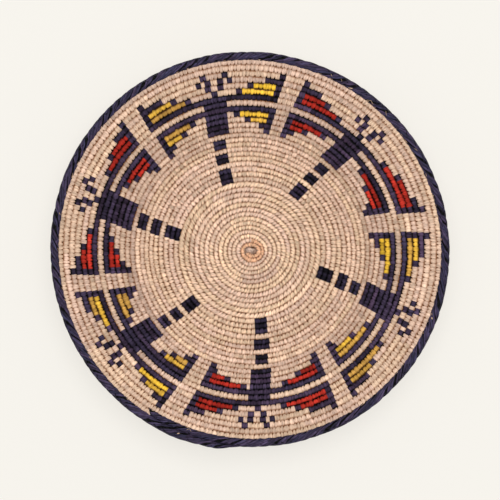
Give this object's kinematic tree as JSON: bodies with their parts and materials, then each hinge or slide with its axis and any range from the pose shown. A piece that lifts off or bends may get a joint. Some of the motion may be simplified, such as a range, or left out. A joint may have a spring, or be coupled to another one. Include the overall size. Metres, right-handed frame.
{
  "type": "coiled wall basket",
  "caption": "Shallow round coiled basket in natural leaf with dark star figures, red and yellow stepped panels and a dark plaited rim, to hang on a wall or lie on a table.",
  "frame": {"origin": "centre of the bounding box on the plane of the flat back, which the basket lies on", "axes": "+Z out of the open front of the bowl, +Y towards the top of the picture, +X towards its right"},
  "size_m": [0.3982, 0.3968, 0.0519],
  "materials": {
    "natural_leaf": "split palm leaf, matt, undyed",
    "knot_leaf": "split palm leaf, matt, darker undyed",
    "dark_leaf": "split palm leaf, satin, dyed dark violet blue",
    "red_leaf": "split palm leaf, matt, dyed red",
    "yellow_leaf": "split palm leaf, matt, dyed yellow",
    "grass": "grass bundle, rough"
  },
  "bodies": {
    "root": {"base_coil": "natural_leaf", "centre_knot": "knot_leaf", "dash_inner_1": "dark_leaf", "dash_inner_2": "dark_leaf", "dash_inner_3": "dark_leaf", "dash_inner_4": "dark_leaf", "dash_inner_5": "dark_leaf", "dash_inner_6": "dark_leaf", "dash_middle_1": "dark_leaf", "dash_middle_2": "dark_leaf", "dash_middle_3": "dark_leaf", "dash_middle_4": "dark_leaf", "dash_middle_5": "dark_leaf", "dash_middle_6": "dark_leaf", "dash_outer_1": "dark_leaf", "dash_outer_2": "dark_leaf", "dash_outer_3": "dark_leaf", "dash_outer_4": "dark_leaf", "dash_outer_5": "dark_leaf", "dash_outer_6": "dark_leaf", "red_inner_left_2": "red_leaf", "red_inner_left_4": "red_leaf", "red_inner_left_6": "red_leaf", "red_inner_right_2": "red_leaf", "red_inner_right_4": "red_leaf", "red_inner_right_6": "red_leaf", "red_outer_left_2": "red_leaf", "red_outer_left_4": "red_leaf", "red_outer_left_6": "red_leaf", "red_outer_right_2": "red_leaf", "red_outer_right_4": "red_leaf", "red_outer_right_6": "red_leaf", "rim_core": "grass", "rim_plait": "dark_leaf", "shoulder_coil": "natural_leaf", "star_1": "dark_leaf", "star_2": "dark_leaf", "star_3": "dark_leaf", "star_4": "dark_leaf", "star_5": "dark_leaf", "star_6": "dark_leaf", "wall_coil": "natural_leaf", "yellow_inner_left_1": "yellow_leaf", "yellow_inner_left_3": "yellow_leaf", "yellow_inner_left_5": "yellow_leaf", "yellow_inner_right_1": "yellow_leaf", "yellow_inner_right_3": "yellow_leaf", "yellow_inner_right_5": "yellow_leaf", "yellow_outer_left_1": "yellow_leaf", "yellow_outer_left_3": "yellow_leaf", "yellow_outer_left_5": "yellow_leaf", "yellow_outer_right_1": "yellow_leaf", "yellow_outer_right_3": "yellow_leaf", "yellow_outer_right_5": "yellow_leaf"}
  },
  "joints": []
}
